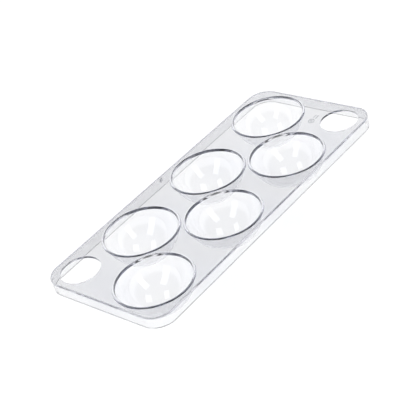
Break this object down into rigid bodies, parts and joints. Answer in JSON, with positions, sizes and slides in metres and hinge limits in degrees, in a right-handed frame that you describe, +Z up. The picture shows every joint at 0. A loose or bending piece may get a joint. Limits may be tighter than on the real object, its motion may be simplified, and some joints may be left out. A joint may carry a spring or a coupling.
{
  "type": "egg tray",
  "caption": "Clear plastic tray that holds eggs upright in staggered round cups, with a skirt round its edge and a finger hole at each end.",
  "frame": {"origin": "on the surface that the tray stands on, under the centre of the tray's outline", "axes": "+X along the length, +Y across the width from the front row of cups to the back row, +Z up, out of the cups' mouths"},
  "size_m": [0.205, 0.0895, 0.0198],
  "materials": {
    "clear_polystyrene": "polished, clear and colourless"
  },
  "bodies": {
    "root": {"deck": "clear_polystyrene", "skirt_front": "clear_polystyrene", "skirt_back": "clear_polystyrene", "skirt_left": "clear_polystyrene", "skirt_right": "clear_polystyrene", "skirt_corner_front_left": "clear_polystyrene", "skirt_corner_front_right": "clear_polystyrene", "skirt_corner_back_left": "clear_polystyrene", "skirt_corner_back_right": "clear_polystyrene", "egg_cup_front_left": "clear_polystyrene", "egg_cup_back_left": "clear_polystyrene", "egg_cup_front_middle": "clear_polystyrene", "egg_cup_back_middle": "clear_polystyrene", "egg_cup_front_right": "clear_polystyrene", "egg_cup_back_right": "clear_polystyrene", "cup_lip_front_left": "clear_polystyrene", "cup_lip_back_left": "clear_polystyrene", "cup_lip_front_middle": "clear_polystyrene", "cup_lip_back_middle": "clear_polystyrene", "cup_lip_front_right": "clear_polystyrene", "cup_lip_back_right": "clear_polystyrene", "gate_vestige": "clear_polystyrene", "mould_mark": "clear_polystyrene"}
  },
  "joints": []
}
